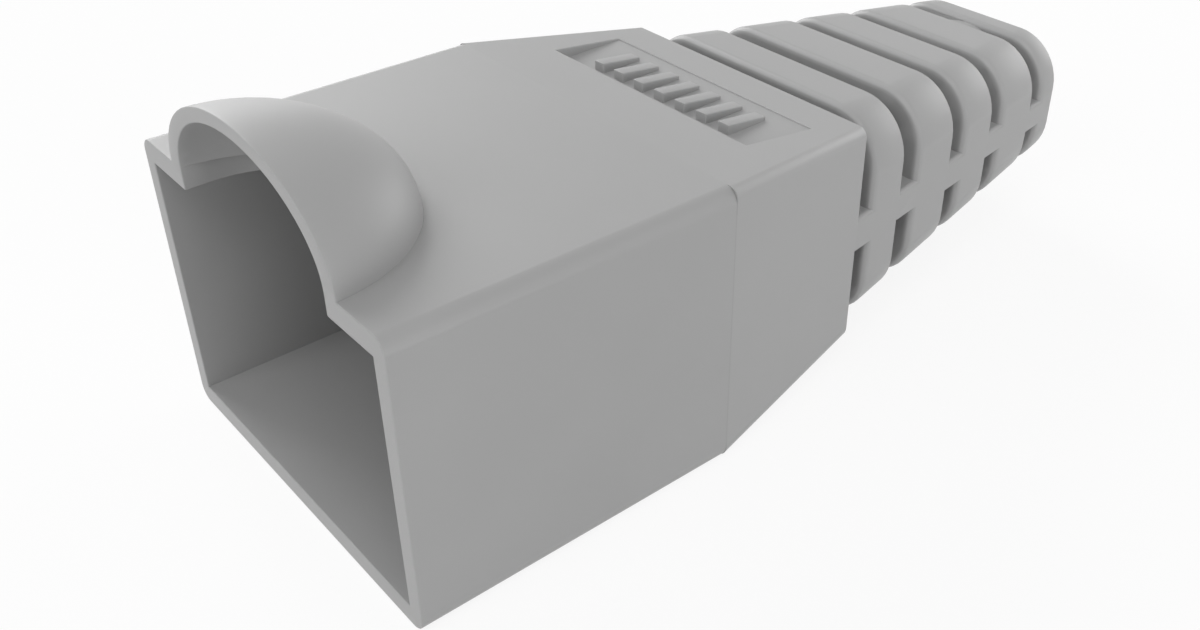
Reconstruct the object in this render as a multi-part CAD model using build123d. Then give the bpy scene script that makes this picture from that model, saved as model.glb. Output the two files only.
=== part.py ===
"""Strain relief boot for an RJ45 patch cord plug, moulded in one piece of soft grey PVC.

A thin-walled sleeve slips over the back of the plug, and a half-round hood on its roof
keeps the plug's latch from snagging. Behind the sleeve the body tapers into a tail of
five ribs. Grooves between the ribs let the tail bend, and a web at half height on each
side ties the ribs together, so that it bends more easily up and down than sideways.

Millimetres. The origin is on the cable's axis, in the plane of the mouth. +Y runs back
along the cable, +Z is up, towards the hood, and X is across the plug.
"""

import os
from math import cos, radians, sin, sqrt

from build123d import *

# Sleeve round the plug, from the mouth back to where the taper starts
plug_opening_width = 11.89
plug_opening_height = 7.9
side_wall = 0.555
floor_wall = 0.63
roof_wall = 0.67
axis_above_underside = 4.47
sleeve_length = 10.57
side_draft = 0.05
roof_draft = 0.13
roof_corner_radius = 0.45
floor_corner_radius = 0.46

# Shell that narrows behind the sleeve, on all four sides
taper_length = 6.45
taper_end_width = 10.44
taper_end_height = 7.52
taper_roof_corner_radius = 0.33
taper_floor_corner_radius = 0.42
taper_end_wall = 0.75
back_wall = 1.0

# Hood over the latch, about a quarter of a flattened ball, and the slot in the roof under it
hood_radius = 4.47
hood_height = 2.79
hood_centre_ahead = 0.13
hood_side_wall = 0.57
hood_crown_wall = 0.4
slot_corner_radius = 3.0

# Grip plate sunk in the sloping roof, with a level floor and plain bars left standing
plate_width = 8.75
plate_length = 2.62
plate_to_taper_end = 1.51
plate_back_depth = 0.05
bar_count = 7
bar_width = 0.45
bar_pitch = 0.95
bar_length = 1.5

# Flexible tail, each groove followed by its rib
tail_end_width = 6.87
tail_end_height = 4.87
tail_corner_radius = 1.75
core_diameter = 4.75
cable_bore_diameter = 3.9
bore_lead_in = 0.8
groove_widths = (0.67, 0.92, 0.8, 0.79, 0.72)
rib_lengths = (1.64, 2.05, 1.75, 2.09, 0.95)
rib_front_radius = 0.27
rib_front_flats = 3

# Side webs across the grooves, which step up and down a little from groove to groove
web_bottoms = (-0.43, -0.35, -0.53, -0.34, -0.46)
web_tops = (0.71, 0.64, 0.5, 0.59, 0.46)
web_top_radius = 0.15
web_grip = 0.45

# Overshoot of a cutting tool past the face that it opens
cut_past = 1.0

sleeve_width = plug_opening_width + 2 * side_wall
sleeve_height = plug_opening_height + floor_wall + roof_wall
underside_z = -axis_above_underside
mouth_roof_z = underside_z + sleeve_height
cavity_floor_z = underside_z + floor_wall
cavity_roof_z = cavity_floor_z + plug_opening_height
taper_start_width = sleeve_width - 2 * side_draft
taper_start_roof_z = mouth_roof_z - roof_draft
taper_end_y = sleeve_length + taper_length
cavity_end_y = taper_end_y - back_wall
tail_length = sum(groove_widths) + sum(rib_lengths)
tail_end_y = taper_end_y + tail_length
latch_radius = hood_radius - hood_side_wall
slot_width = 2 * sqrt(latch_radius**2 - hood_centre_ahead**2)
slot_depth = latch_radius - hood_centre_ahead


def between(start, end, share):
    """Value a given share of the way from start to end."""
    return start + (end - start) * share


def tapered_block(y_range, widths, bottoms, tops):
    """Block between two planes across Y, with a width, a bottom and a top at each end."""
    front, back = y_range
    plan = make_face(Polyline(
        (-widths[0] / 2, front), (widths[0] / 2, front),
        (widths[1] / 2, back), (-widths[1] / 2, back), close=True))
    side = make_face(Plane.YZ * Polyline(
        (front, bottoms[0]), (back, bottoms[1]),
        (back, tops[1]), (front, tops[0]), close=True))
    reach_z = max(abs(z) for z in (*bottoms, *tops)) + cut_past
    reach_x = max(widths) / 2 + cut_past
    return extrude(plan, reach_z, both=True) & extrude(side, reach_x, both=True)


def long_edges(block):
    """The edges that run along a block, from the lowest to the highest."""
    lengthwise = [edge for edge in block.edges() if abs(edge.tangent_at(0.5).Y) > 0.9]
    return sorted(lengthwise, key=lambda edge: edge.center().Z)


def rounded_block(block, roof_radius, floor_radius):
    """The same block with its four long edges rounded."""
    block = fillet(long_edges(block)[2:], roof_radius)
    return fillet(long_edges(block)[:2], floor_radius)


def sleeve():
    """Straight outer body round the plug, with a little mould draft."""
    block = tapered_block(
        (0, sleeve_length), (sleeve_width, taper_start_width),
        (underside_z, underside_z), (mouth_roof_z, taper_start_roof_z))
    return rounded_block(block, roof_corner_radius, floor_corner_radius)


def taper():
    """Outer body between the sleeve and the tail, a little squarer at its corners."""
    block = tapered_block(
        (sleeve_length, taper_end_y), (taper_start_width, taper_end_width),
        (underside_z, -taper_end_height / 2), (taper_start_roof_z, taper_end_height / 2))
    return rounded_block(block, taper_roof_corner_radius, taper_floor_corner_radius)


def plug_cavity():
    """Pocket that takes the back of the plug, open at the mouth."""
    return tapered_block(
        (-cut_past, sleeve_length), (plug_opening_width, plug_opening_width),
        (cavity_floor_z, cavity_floor_z), (cavity_roof_z, cavity_roof_z))


def wire_cavity():
    """Pocket behind the plug where the wires gather, down to the back wall."""
    share = (cavity_end_y - sleeve_length) / taper_length
    width = between(taper_start_width, taper_end_width, share) - 2 * taper_end_wall
    floor = between(underside_z, -taper_end_height / 2, share) + taper_end_wall
    roof = between(taper_start_roof_z, taper_end_height / 2, share) - taper_end_wall
    return tapered_block(
        (sleeve_length, cavity_end_y), (plug_opening_width, width),
        (cavity_floor_z, floor), (cavity_roof_z, roof))


def across_cable(y, radius):
    """Disc across the cable's axis at a station along it."""
    return Plane.XZ.offset(-y) * Circle(radius)


def along_cable(radius, start, end):
    """Round rod on the cable's axis from one station to another."""
    return extrude(across_cable(start, radius), end - start, dir=(0, 1, 0))


def cable_bore():
    """Hole for the cable through the back wall and the tail, with a cone to guide the end in."""
    radius = cable_bore_diameter / 2
    bore = along_cable(radius, cavity_end_y, tail_end_y + cut_past)
    cone_start = across_cable(cavity_end_y, radius + bore_lead_in)
    cone_end = across_cable(cavity_end_y + bore_lead_in, radius)
    return bore + loft([cone_start.face(), cone_end.face()])


def dome(radius, height):
    """Flattened ball, centred at roof height a little ahead of the mouth."""
    arc = EllipticalCenterArc((0, 0), radius, height, -90, arc_size=180)
    section = Plane.XZ * make_face(arc + Line((0, height), (0, -height)))
    return Pos(0, -hood_centre_ahead, mouth_roof_z) * revolve(section, Axis.Z)


def hood():
    """The part of the ball behind the mouth, flush with it."""
    behind_mouth = Box(2 * sleeve_width, sleeve_width, 2 * sleeve_height)
    return dome(hood_radius, hood_height) & Pos(0, sleeve_width / 2, mouth_roof_z) * behind_mouth


def latch_space():
    """Hollow of the hood, and the slot in the roof that joins it to the plug's pocket."""
    above_roof = Box(2 * sleeve_width, 2 * sleeve_width, 2 * hood_height)
    hollow = dome(latch_radius, hood_height - hood_crown_wall)
    hollow &= Pos(0, 0, mouth_roof_z + hood_height) * above_roof
    outline = Pos(0, (slot_depth - cut_past) / 2) * Rectangle(slot_width, slot_depth + cut_past)
    outline = fillet(outline.vertices().sort_by(Axis.Y)[-2:], slot_corner_radius)
    slot = Pos(0, 0, cavity_roof_z - cut_past) * extrude(outline, roof_wall + cut_past)
    return hollow + slot


def grip_plate():
    """Wedge cut into the sloping roof, less the bars that stay up to the roof's surface."""
    slope = (taper_start_roof_z - taper_end_height / 2) / taper_length
    floor_z = taper_end_height / 2 + slope * plate_to_taper_end - plate_back_depth
    plate_y = taper_end_y - plate_to_taper_end - plate_length / 2
    wedge = Pos(0, plate_y, floor_z + cut_past) * Box(plate_width, plate_length, 2 * cut_past)
    bars = [
        Pos((i - (bar_count - 1) / 2) * bar_pitch, plate_y, floor_z + cut_past)
        * Box(bar_width, bar_length, 2 * cut_past)
        for i in range(bar_count)]
    return wedge - bars


def tail_size(y):
    """Width and height of the tail at a station along the cable."""
    share = (y - taper_end_y) / tail_length
    return (between(taper_end_width, tail_end_width, share),
            between(taper_end_height, tail_end_height, share))


def tail_outline(y, inset=0.0):
    """Rounded outline of the tail at a station along the cable, or one that lies inside it."""
    width, height = tail_size(y)
    outline = RectangleRounded(width - 2 * inset, height - 2 * inset, tail_corner_radius - inset)
    return (Plane.XZ.offset(-y) * outline).face()


def rib(start, end):
    """One rib, sharp along its back edge. Its front edge is rounded by a few narrow flats."""
    turns = [radians(90 * i / rib_front_flats) for i in range(rib_front_flats, -1, -1)]
    outlines = [
        tail_outline(start + rib_front_radius * (1 - sin(turn)), rib_front_radius * (1 - cos(turn)))
        for turn in turns]
    return loft([*outlines, tail_outline(end)], ruled=True)


def web(start, end, bottom, top):
    """Web across one groove, flush with both sides of the tail and soft along its top."""
    block = tapered_block(
        (start, end), (tail_size(start)[0], tail_size(end)[0]), (bottom, bottom), (top, top))
    return fillet(long_edges(block)[2:], web_top_radius)


def ribs_and_webs():
    """Each groove's rib and web. A web runs into the wall or rib before it and the rib after."""
    made = []
    y, length_before = taper_end_y, back_wall
    for groove_width, rib_length, bottom, top in zip(
            groove_widths, rib_lengths, web_bottoms, web_tops):
        rib_start = y + groove_width
        rib_end = rib_start + rib_length
        made.append(rib(rib_start, rib_end))
        made.append(web(
            y - web_grip * length_before, rib_start + web_grip * rib_length, bottom, top))
        y, length_before = rib_end, rib_length
    return made


def tail():
    """Core tube round the cable, with the ribs and the webs on it."""
    core = along_cable(core_diameter / 2, taper_end_y - back_wall / 2, tail_end_y)
    return core + ribs_and_webs()


def boot():
    """The whole moulding."""
    body = sleeve() + taper() + hood() + tail()
    return body - plug_cavity() - wire_cavity() - latch_space() - cable_bore() - grip_plate()


os.makedirs("parts", exist_ok=True)
export_step(boot(), "parts/boot.step")
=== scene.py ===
# %% [markdown]
# # A strain relief boot for a network plug
#
# A boot like this slips over the back of a plug. Its hood keeps the plug's latch from
# snagging, and its ribbed tail keeps the cable from bending sharply. It is a single moulding
# in soft grey PVC. Its form is settled already, in the solid model that this file loads. It
# could be built here a second time, but then two forms would have to be kept in step. So the
# solid gives the form, and what is left is the look: the edges and the skin of a small
# moulded part, a plain pale room, and the view from the front right and above.

# %% Load the solid model
import math

import bmesh
import bpy
from mathutils import Matrix, Vector


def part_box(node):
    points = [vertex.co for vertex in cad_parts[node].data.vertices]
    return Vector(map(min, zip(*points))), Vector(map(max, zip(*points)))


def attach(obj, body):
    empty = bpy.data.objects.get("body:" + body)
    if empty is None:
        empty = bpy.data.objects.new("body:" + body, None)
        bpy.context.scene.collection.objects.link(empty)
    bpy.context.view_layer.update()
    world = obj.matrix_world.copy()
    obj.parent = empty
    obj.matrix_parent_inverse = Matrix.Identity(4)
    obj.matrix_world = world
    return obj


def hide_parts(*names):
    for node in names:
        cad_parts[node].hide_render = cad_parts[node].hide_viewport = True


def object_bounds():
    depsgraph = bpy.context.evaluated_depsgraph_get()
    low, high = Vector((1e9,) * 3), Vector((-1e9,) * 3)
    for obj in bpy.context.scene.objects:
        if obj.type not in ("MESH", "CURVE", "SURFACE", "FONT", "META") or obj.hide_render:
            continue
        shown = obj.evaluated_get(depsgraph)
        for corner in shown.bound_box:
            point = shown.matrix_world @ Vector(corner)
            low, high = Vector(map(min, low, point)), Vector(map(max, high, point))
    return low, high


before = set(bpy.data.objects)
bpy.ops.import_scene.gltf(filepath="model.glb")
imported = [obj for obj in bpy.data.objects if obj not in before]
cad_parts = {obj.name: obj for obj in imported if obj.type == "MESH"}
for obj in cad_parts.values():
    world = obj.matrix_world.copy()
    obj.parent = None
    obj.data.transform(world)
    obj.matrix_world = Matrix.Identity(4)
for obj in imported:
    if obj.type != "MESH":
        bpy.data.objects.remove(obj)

MM = 0.001
cad_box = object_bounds()
boot_low, boot_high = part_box("boot")
print("boot, mm:", [round((high - low) / MM, 2) for low, high in zip(boot_low, boot_high)])

# %% [markdown]
# ## One skin
#
# The real boot has one unbroken skin, but the solid model arrives as loose triangles. A
# remesh would make one skin of them and would melt every crisp edge. So a copy keeps its own
# points. Its doubles are merged, and then it can be shaded smooth over the rounds and crisp
# at the edges that the mould leaves sharp. Flat neighbours are joined into whole faces, so
# that a bevel finds clean edges to work on.

# %% Copy the boot and join its triangles
MERGE_DISTANCE = 0.0005 * MM
FLAT_ANGLE = math.radians(0.02)


def joined_copy(node):
    """The node's form as a bmesh, its triangles joined into whole flat faces."""
    form = bmesh.new()
    form.from_mesh(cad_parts[node].data)
    bmesh.ops.remove_doubles(form, verts=form.verts, dist=MERGE_DISTANCE)
    bmesh.ops.dissolve_limit(form, angle_limit=FLAT_ANGLE, verts=form.verts, edges=form.edges)
    return form


form = joined_copy("boot")
print("joined:", len(form.verts), "vertices,", len(form.faces), "faces")

# %% [markdown]
# ## Edges that stand out
#
# No moulded edge is a knife edge. The steel of the mould is polished, and soft PVC shrinks
# back from its corners, so each edge ends in a round of a few hundredths of a millimetre.
# A Bevel modifier could round every edge at once, by angle. Two kinds have to stay out of it
# here. In the fold, the edges of the sleeve and the taper lie too close together to be
# rounded. And a web's lower edge runs out into the round of a rib, where a bevel has no room
# and leaves a dark nick. A bevel in the mesh takes a list of edges, so the list is made first.
# An edge is sharp from 32 degrees on, because the rounds of the ribs turn by 30 at a time.

# %% Find the edges that are rounded
SHARP_ANGLE = math.radians(32)
FOLD = 10.57 * MM
TAPER_END = 17.02 * MM
FACING_DOWN = -0.999


def is_sharp(edge):
    """Whether the surface turns by more than a smooth round does from face to face."""
    return edge.calc_face_angle() > SHARP_ANGLE


def in_fold(edge):
    """Whether the edge lies in the fold where the sleeve meets the taper."""
    return all(abs(vert.co.y - FOLD) < MERGE_DISTANCE for vert in edge.verts)


def runs_out(edge):
    """Whether the edge is a web's lower edge, which runs out into the round of a rib."""
    return (edge.verts[0].co.y > TAPER_END
            and any(face.normal.z < FACING_DOWN for face in edge.link_faces))


outer = [edge for edge in form.edges
         if is_sharp(edge) and edge.is_convex and not in_fold(edge) and not runs_out(edge)]
print("edges that stand out:", len(outer), "of", len(form.edges))

# %% [markdown]
# ## Their rounds
#
# The round is far too small to see as a shape, but it catches the light as a thin bright
# line, and that line is what tells the eye that an edge was moulded. Three steps are enough
# at this size. Where two rounds run together, the bevel leaves slivers with no area. They
# are cleared straight away, because a sliver has no direction of its own to shade by. Edges
# that are still sharp after that, the fold's among them, are marked to be shaded crisp.

# %% Round them off, and shade the rest smooth
EDGE_ROUND = 0.035 * MM
ROUND_STEPS = 3

bmesh.ops.bevel(form, geom=outer, offset=EDGE_ROUND, offset_type="OFFSET",
                segments=ROUND_STEPS, profile=0.5, affect="EDGES", material=-1,
                clamp_overlap=False)
bmesh.ops.dissolve_degenerate(form, dist=MERGE_DISTANCE, edges=form.edges)
for face in form.faces:
    face.smooth = True
for edge in form.edges:
    edge.smooth = not is_sharp(edge) and not in_fold(edge)
print("rounded:", len(form.verts), "vertices,", len(form.faces), "faces")
print("still sharp:", sum(not edge.smooth for edge in form.edges))
print("open edges:", sum(not edge.is_manifold for edge in form.edges))

# %% [markdown]
# ## The moulding
#
# The finished skin becomes an object, which stands for the solid and moves with it. Smooth
# shading gives each corner the average direction of the faces round it, so beside a narrow
# round a flat wall would look dented. Cutting a second ring of faces along each edge would
# cure that and double the mesh. The Weighted Normal modifier does it with no new faces: the
# large face at a corner decides, the flats stay flat, and only the rounds turn.

# %% Put the moulding in the scene
LARGE_FACES_DECIDE = 100


def put_in_scene(name, data):
    """A new object in the scene, at the origin, that shows a mesh, a lamp or a camera."""
    made = bpy.data.objects.new(name, data)
    bpy.context.scene.collection.objects.link(made)
    return made


def mesh_object(name, form):
    """A finished bmesh as an object in the scene."""
    mesh = bpy.data.meshes.new(name)
    form.to_mesh(mesh)
    form.free()
    return put_in_scene(name, mesh)


moulding = mesh_object("moulding", form)
flat_first = moulding.modifiers.new("flat faces keep flat shading", "WEIGHTED_NORMAL")
flat_first.weight = LARGE_FACES_DECIDE
flat_first.keep_sharp = True
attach(moulding, "root")
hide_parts("boot")
print("moulding:", len(moulding.data.polygons), "faces")

# %% [markdown]
# ## Shader nodes as expressions
#
# A finish can be wired up by hand in the Shader Editor, but it is easier to read as
# arithmetic than as a web of nodes. So each value that varies over the surface is a socket,
# and the usual operators add the Math nodes. Every other node comes from one method, which
# takes its type, its settings and its inputs.


# %% A socket that does arithmetic
class Value:
    """A number, colour or vector that varies over a surface: the socket that carries it."""

    def __init__(self, shader, socket):
        self.shader, self.socket = shader, socket

    def __add__(self, other):
        return self.shader.maths("ADD", self, other)

    def __sub__(self, other):
        return self.shader.maths("SUBTRACT", self, other)

    def __rsub__(self, other):
        return self.shader.maths("SUBTRACT", other, self)

    def __mul__(self, other):
        return self.shader.maths("MULTIPLY", self, other)

    def __abs__(self):
        return self.shader.maths("ABSOLUTE", self)

    __radd__ = __add__
    __rmul__ = __mul__


# %% The nodes that it works in
class Shader:
    """The nodes of a material or of the world, made from Python."""

    def __init__(self, owner):
        owner.use_nodes = True
        self.owner, self.tree = owner, owner.node_tree

    def node(self, kind, settings=None, inputs=(), output=0):
        """Add a node: its settings first, then its inputs, by order or by name."""
        made = self.tree.nodes.new(kind)
        for setting, value in (settings or {}).items():
            setattr(made, setting, value)
        named = inputs.items() if isinstance(inputs, dict) else enumerate(inputs)
        for key, value in named:
            self.feed(made.inputs[key], value)
        return Value(self, made.outputs[output])

    def maths(self, operation, *inputs):
        """Add a Math node."""
        return self.node("ShaderNodeMath", {"operation": operation}, inputs)

    def feed(self, socket, value):
        """Link a socket to a value, or set it to a constant."""
        if isinstance(value, Value):
            self.tree.links.new(value.socket, socket)
        else:
            socket.default_value = value


# %% [markdown]
# ## Soft grey PVC
#
# The real skin is one colour right through, so nothing is painted on it. It still isn't
# quite even: the melt leaves broad clouds, a shade lighter or darker, that the eye reads as
# plastic and not as a flat fill. A picture of plastic would show a seam wherever it wraps
# round the form. Noise on Object coordinates has none, because it fills the space that the
# boot stands in. The coordinates are metres, so the noise's scale is one over the size of a
# cloud, and the clouds run on round every edge.

# %% Colour: a mid grey with faint clouds
GREY = 0.36
CLOUD_DEPTH = 0.012
CLOUD_SIZE = 3.5 * MM
CLOUD_DETAIL = 2
MIX_SHARE, MIX_LOW, MIX_HIGH, MIX_RESULT = 0, 6, 7, 2

pvc = Shader(bpy.data.materials.new("soft grey pvc"))
skin = pvc.tree.nodes["Principled BSDF"]
place = pvc.node("ShaderNodeTexCoord", output="Object")


def noise(size, detail):
    """Noise from 0 to 1 on the boot, with features of a size in metres."""
    return pvc.node("ShaderNodeTexNoise", None, {
        "Vector": place, "Scale": 1 / size, "Detail": detail})


def grey(level):
    """A neutral colour, from 0 for black to 1 for white."""
    return (level, level, level, 1.0)


def blend(share, low, high):
    """A colour between two, by a share that varies over the surface.

    A Mix node has its sockets for all types in one row, so those for colours go by number.
    """
    return pvc.node("ShaderNodeMix", {"data_type": "RGBA"},
                    {MIX_SHARE: share, MIX_LOW: low, MIX_HIGH: high}, output=MIX_RESULT)


clouds = noise(CLOUD_SIZE, CLOUD_DETAIL)
colour = blend(clouds, grey(GREY - CLOUD_DEPTH), grey(GREY + CLOUD_DEPTH))
print("grey from", GREY - CLOUD_DEPTH, "to", GREY + CLOUD_DEPTH)

# %% [markdown]
# ## The line at the fold
#
# The part of the mould that forms the sleeve ends where the taper starts, and the next part
# butts against it. The moulding keeps a hairline there: clear at its corners, where the two
# roundings don't quite agree, and faint down the sides between them. A groove in the mesh
# would be narrower than most of its faces, so the material draws it: a band of Y near the
# fold, sunk by the bump further on, and darkened in its colour as painted shade for the
# shade that falls into the fine groove. How clear it is goes by height. It clears at the
# foot of the corner's round and is gone where the roof begins.

# %% Hairline round the fold
HAIRLINE_HALF_WIDTH = 0.045 * MM
ROOF, ROOF_FADE = 4.52 * MM, 0.05 * MM
CORNER_FOOT = (3.8 * MM, 3.9 * MM)
FAINT, CLEAR = 0.4, 0.7
# Painted shade: the dark grey that the hairline's colour is drawn in, for the shade in the
# groove.
CREASE_SHADE_GREY = 0.28


def ramp(value, start, end, low=0.0, high=1.0):
    """Smooth change from low to high as a value goes from start to end."""
    return pvc.node("ShaderNodeMapRange", {"interpolation_type": "SMOOTHSTEP"}, {
        "Value": value, "From Min": start, "From Max": end, "To Min": low, "To Max": high})


along, height = (pvc.node("ShaderNodeSeparateXYZ", None, [place], output=axis) for axis in "YZ")
# The hairline's mask: it sinks the bump, a real groove, and also places the painted shade.
near_fold = 1 - ramp(abs(along - FOLD), 0.0, HAIRLINE_HALF_WIDTH)
clearness = ramp(abs(height), *CORNER_FOOT, FAINT, CLEAR)
clearness *= 1 - ramp(height, ROOF, ROOF + ROOF_FADE)
hairline_and_shade = near_fold * clearness
# Painted shade: along the hairline the colour is darkened, standing in for the shade that falls
# into the fine groove.
colour = blend(hairline_and_shade, colour, grey(CREASE_SHADE_GREY))
print("hairline, mm:", 2 * HAIRLINE_HALF_WIDTH / MM, "wide at", FOLD / MM)

# %% [markdown]
# ## Satin
#
# The mould is polished but not to a mirror, and soft PVC copies its finest scratches. Each
# could be drawn as a bump, but they are too small to see one by one. Together they spread
# each highlight, which is what the roughness says, and a grain a thousandth of a millimetre
# deep breaks the light up a little. The roughness varies with the same clouds, because a
# duller patch also looks paler. A bump whose distance is 1 takes its height in metres.

# %% Satin skin with a fine grain
ROUGHNESS = 0.45
ROUGHNESS_SPREAD = 0.06
MIDDLE_OF_NOISE = 0.5
GRAIN_SIZE = 0.12 * MM
GRAIN_DETAIL = 3
GRAIN_DEPTH = 0.0012 * MM
HAIRLINE_DEPTH = 0.01 * MM

grain = noise(GRAIN_SIZE, GRAIN_DETAIL)
height_over_skin = grain * GRAIN_DEPTH - hairline_and_shade * HAIRLINE_DEPTH
bump = pvc.node("ShaderNodeBump", None, {
    "Strength": 1.0, "Distance": 1.0, "Height": height_over_skin}, output="Normal")
roughness = ROUGHNESS + (clouds - MIDDLE_OF_NOISE) * ROUGHNESS_SPREAD
pvc.feed(skin.inputs["Base Color"], colour)
pvc.feed(skin.inputs["Roughness"], roughness)
pvc.feed(skin.inputs["Normal"], bump)
moulding.data.materials.append(pvc.owner)
print("skin:", len(pvc.tree.nodes), "nodes")

# %% [markdown]
# ## The floor
#
# Small parts are photographed on a white sweep, so that nothing but the part has a tone. A
# floor lit until it clips would spill its light back onto the part. So this floor is lit
# like everything else, and is then mixed with plain white for the rays that come from the
# camera or from a reflection. The share that is held back keeps the part's shadow. From
# below the floor is clear as glass, so that the underside can be looked at too. It lies a
# hundredth of a millimetre lower than the boot, since two faces in one place would flicker.

# %% Lay the floor
FLOOR_SIZE = 2.0
FLOOR_GAP = 0.01 * MM

floor_level = cad_box[0][2] - FLOOR_GAP
square = bmesh.new()
bmesh.ops.create_grid(square, x_segments=1, y_segments=1, size=FLOOR_SIZE / 2)
bmesh.ops.translate(square, vec=(0, 0, floor_level), verts=square.verts)
floor = mesh_object("floor", square)
print("floor at, mm:", round(floor_level / MM, 2))

# %% Make it white, with a faint shadow
FLOOR_WHITE = 0.95
FLOOR_ROUGHNESS = 0.9
SHADOW_SHARE = 0.12


def seen_directly(shader):
    """1 for what is seen itself, in a reflection or through glass, and else 0."""
    camera, glossy, through = (
        shader.node("ShaderNodeLightPath", output=f"Is {kind} Ray")
        for kind in ("Camera", "Glossy", "Transmission"))
    return camera + glossy + through


table = Shader(bpy.data.materials.new("white table"))
top = table.tree.nodes["Principled BSDF"]
table.feed(top.inputs["Base Color"], grey(FLOOR_WHITE))
table.feed(top.inputs["Roughness"], FLOOR_ROUGHNESS)
table.feed(top.inputs["Specular IOR Level"], 0.0)
lit = Value(table, top.outputs["BSDF"])
white = table.node("ShaderNodeEmission", None, {"Color": grey(1.0), "Strength": 1.0})
shown = table.node("ShaderNodeMixShader", None, [
    seen_directly(table) * (1 - SHADOW_SHARE), lit, white])
from_below = table.node("ShaderNodeNewGeometry", output="Backfacing")
clear = table.node("ShaderNodeBsdfTransparent")
shown = table.node("ShaderNodeMixShader", None, [from_below, shown, clear])
table.feed(table.tree.nodes["Material Output"].inputs["Surface"], shown)
floor.data.materials.append(table.owner)
print("white table:", len(table.tree.nodes), "nodes")

# %% [markdown]
# ## The walls
#
# Round a small part hangs a tent of white cloth, which glows a little on every side. It
# could be a dome of faces, but the world is already all round and needs none. It is treated
# as the floor is: plain white to look at, and dimmer in the light that it gives, so that the
# lamps can still shape the boot.

# %% White walls, dimmer for the light that they give
WALL_LIGHT = 0.31

world = bpy.data.worlds.new("room")
bpy.context.scene.world = world
room = Shader(world)
walls = room.tree.nodes["Background"]
room.feed(walls.inputs["Color"], grey(1.0))
room.feed(walls.inputs["Strength"], WALL_LIGHT + (1 - WALL_LIGHT) * seen_directly(room))
print("walls give", WALL_LIGHT, "of the light that they show")

# %% [markdown]
# ## Soft lamps
#
# White walls alone would light the boot evenly and leave it flat. Area lamps would shape it,
# but close to a small part their light falls off from one end of it to the other. These are
# suns with a very wide disc, which act as large soft boxes a long way off: their shadows
# have no edge, and their strength is the same all along the boot. The left lamp is the
# brightest. It slides over the roof and the hood, and edges the shoulders of the ribs.
# Together they light every side to about the grey that the skin is given.

# %% Lamps round the boot
LAMP_WIDTH = math.radians(35)


def lamp(name, azimuth, elevation, strength):
    """Soft lamp in a direction in degrees, where 0, 0 is straight ahead of the mouth."""
    light = bpy.data.lights.new(name, "SUN")
    light.energy = strength
    light.angle = LAMP_WIDTH
    hung = put_in_scene(name, light)
    hung.rotation_euler = (math.radians(90 - elevation), 0, math.radians(azimuth))
    print(name, "at", azimuth, elevation, "with strength", strength)


lamp("left lamp", -90, 30, 1.34)
lamp("left lamp, low", -106, 8, 0.48)
lamp("right lamp, high", 45, 60, 0.74)
lamp("right lamp, low", 90, 8, 0.80)
lamp("front lamp", 0, 30, 0.66)
lamp("back lamp, low", 180, 8, 0.72)

# %% [markdown]
# ## The camera
#
# A part this small is photographed from close by, so the lines along it visibly draw
# together. A long lens from further off would show the same sides with those lines nearly
# parallel, and the boot would look longer. So the distance matters as much as the direction:
# the camera stands a little over the boot's own length away, in front, to the right and
# above, and aims a little ahead of the boot's middle. It also leans by a degree or so, as a
# camera held in the hand does.

# %% Place the camera
AIM = Vector((3.3032, 8.4427, 0)) * MM
AZIMUTH = math.radians(51.998)
ELEVATION = math.radians(34.689)
ROLL = math.radians(-1.35)
DISTANCE = 36.944 * MM
LENS = 39.032
SENSOR_WIDTH = 36
NEAREST, FARTHEST = 1 * MM, 10

to_camera = Vector((math.sin(AZIMUTH) * math.cos(ELEVATION),
                    -math.cos(AZIMUTH) * math.cos(ELEVATION),
                    math.sin(ELEVATION)))
view = bpy.data.cameras.new("camera")
view.lens, view.sensor_width = LENS, SENSOR_WIDTH
view.clip_start, view.clip_end = NEAREST, FARTHEST
camera = put_in_scene("camera", view)
turn = to_camera.to_track_quat("Z", "Y").to_matrix() @ Matrix.Rotation(ROLL, 3, "Z")
camera.matrix_world = Matrix.Translation(AIM + to_camera * DISTANCE) @ turn.to_4x4()
bpy.context.scene.camera = camera
print("camera, mm:", [round(part / MM, 1) for part in camera.matrix_world.translation])

# %% [markdown]
# ## Colour
#
# The other views bend tones, as film does, to keep very bright light in range. Nothing here
# is that bright, so the Standard view shows each colour as it is written.

# %% Set the view
bpy.context.scene.view_settings.view_transform = "Standard"
print("view:", bpy.context.scene.view_settings.view_transform)
